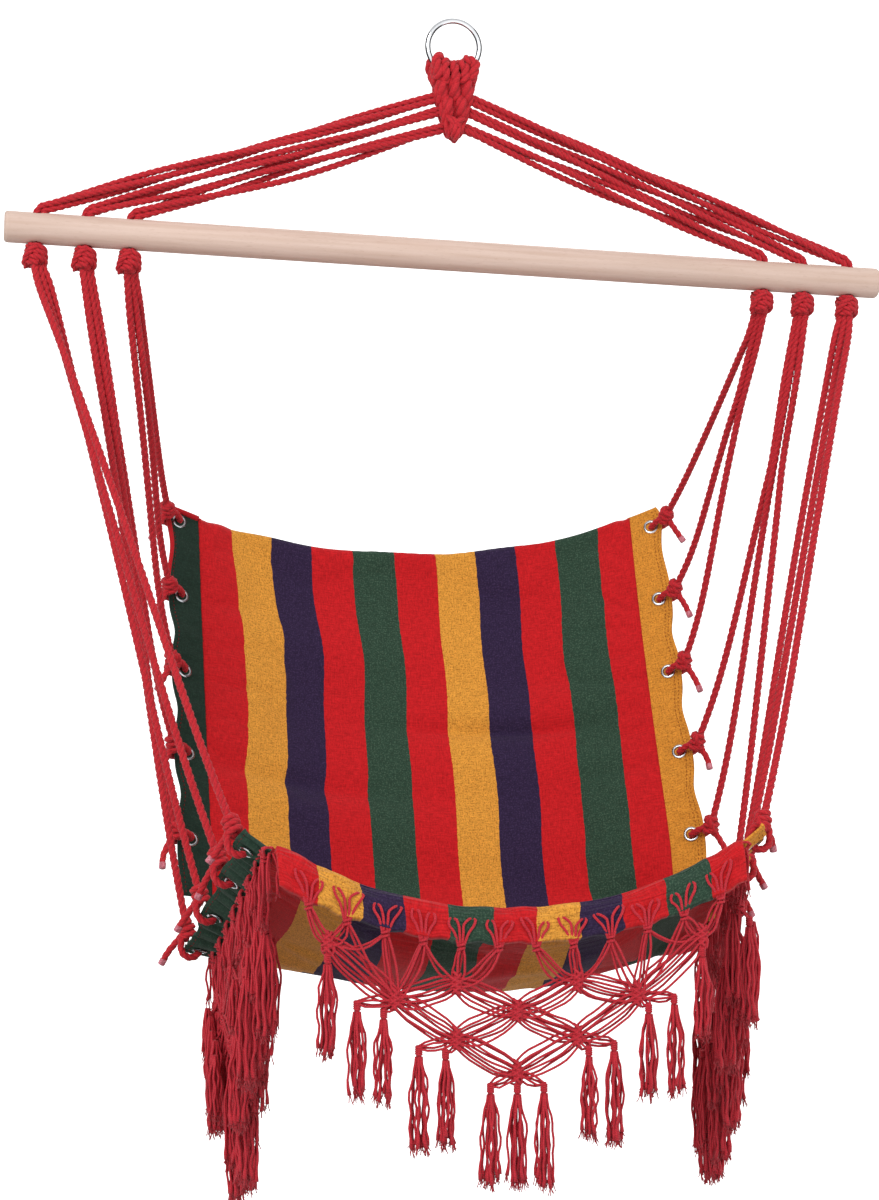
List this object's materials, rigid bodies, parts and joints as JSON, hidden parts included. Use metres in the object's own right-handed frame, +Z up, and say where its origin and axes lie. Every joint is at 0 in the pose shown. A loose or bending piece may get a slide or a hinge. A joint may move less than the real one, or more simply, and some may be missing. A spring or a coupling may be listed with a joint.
{
  "type": "hammock chair",
  "caption": "Hanging hammock chair: striped cotton sling roped to a wooden spreader bar under a steel ring, with knotted macrame fringes.",
  "frame": {"origin": "where a hook bears, at the top of the inside of the hanging ring", "axes": "+Z up, -Y the way the sitter faces, +X the sitter's left"},
  "size_m": [0.9004, 0.5929, 1.1634],
  "materials": {
    "ring_steel": "polished",
    "rope": "laid synthetic rope",
    "bar_wood": "sanded, clear matt",
    "striped_cloth": "woven stripes, padded",
    "green_cloth": "woven",
    "mustard_cloth": "woven",
    "eyelet_metal": "plated",
    "fringe_cord": "thin knotted cords"
  },
  "bodies": {
    "ring": {"hanging_ring": "ring_steel"},
    "lashing": {"head_knot": "rope"},
    "bar": {"spreader_bar": "bar_wood", "bridle_ropes_left_outer": "rope", "bridle_ropes_left_middle": "rope", "bridle_ropes_left_inner": "rope", "bridle_ropes_right_outer": "rope", "bridle_ropes_right_middle": "rope", "bridle_ropes_right_inner": "rope"},
    "sling": {"back_panel": "striped_cloth", "seat_panel": "striped_cloth", "front_hem": "striped_cloth", "back_strip_left": "green_cloth", "seat_strip_left": "green_cloth", "back_strip_right": "mustard_cloth", "seat_strip_right": "mustard_cloth", "back_eyelet_left_1": "eyelet_metal", "back_eyelet_left_2": "eyelet_metal", "back_eyelet_left_3": "eyelet_metal", "back_eyelet_left_4": "eyelet_metal", "back_eyelet_left_5": "eyelet_metal", "seat_eyelet_left_1": "eyelet_metal", "seat_eyelet_left_2": "eyelet_metal", "seat_eyelet_left_3": "eyelet_metal", "seat_eyelet_left_4": "eyelet_metal", "back_eyelet_right_1": "eyelet_metal", "back_eyelet_right_2": "eyelet_metal", "back_eyelet_right_3": "eyelet_metal", "back_eyelet_right_4": "eyelet_metal", "back_eyelet_right_5": "eyelet_metal", "seat_eyelet_right_1": "eyelet_metal", "seat_eyelet_right_2": "eyelet_metal", "seat_eyelet_right_3": "eyelet_metal", "seat_eyelet_right_4": "eyelet_metal", "back_rope_left_1": "rope", "back_rope_left_2": "rope", "back_rope_left_3": "rope", "back_rope_left_4": "rope", "back_rope_left_5": "rope", "seat_rope_left_1": "rope", "seat_rope_left_2": "rope", "seat_rope_left_3": "rope", "seat_rope_left_4": "rope", "back_rope_right_1": "rope", "back_rope_right_2": "rope", "back_rope_right_3": "rope", "back_rope_right_4": "rope", "back_rope_right_5": "rope", "seat_rope_right_1": "rope", "seat_rope_right_2": "rope", "seat_rope_right_3": "rope", "seat_rope_right_4": "rope"},
    "front_net": {"front_fringe": "fringe_cord"},
    "left_net": {"side_fringe_left": "fringe_cord"},
    "right_net": {"side_fringe_right": "fringe_cord"}
  },
  "joints": [
    {"name": "side_swing", "type": "hinge", "parent": "ring", "child": "lashing", "pos_m": [0, 0, -0.02375], "axis": [0, 1, 0], "range_deg": [-20, 20]},
    {"name": "bar_swing", "type": "hinge", "parent": "lashing", "child": "bar", "pos_m": [0, 0, -0.08575], "axis": [1, 0, 0], "range_deg": [-25, 25]},
    {"name": "sling_swing", "type": "hinge", "parent": "bar", "child": "sling", "pos_m": [-0.00098, 0, -0.26378], "axis": [0.9994, 0, -0.035], "range_deg": [-28, 28]},
    {"name": "front_net_swing", "type": "hinge", "parent": "sling", "child": "front_net", "pos_m": [0, -0.3259, -0.90101], "axis": [1, 0, 0], "range_deg": [-25, 8]},
    {"name": "left_net_swing", "type": "hinge", "parent": "sling", "child": "left_net", "pos_m": [-0.2345, -0.16917, -0.87495], "axis": [-0.103, 0.893, -0.438], "range_deg": [-4, 25]},
    {"name": "right_net_swing", "type": "hinge", "parent": "sling", "child": "right_net", "pos_m": [0.2345, -0.16917, -0.87495], "axis": [0.103, 0.893, -0.438], "range_deg": [-25, 4]}
  ]
}
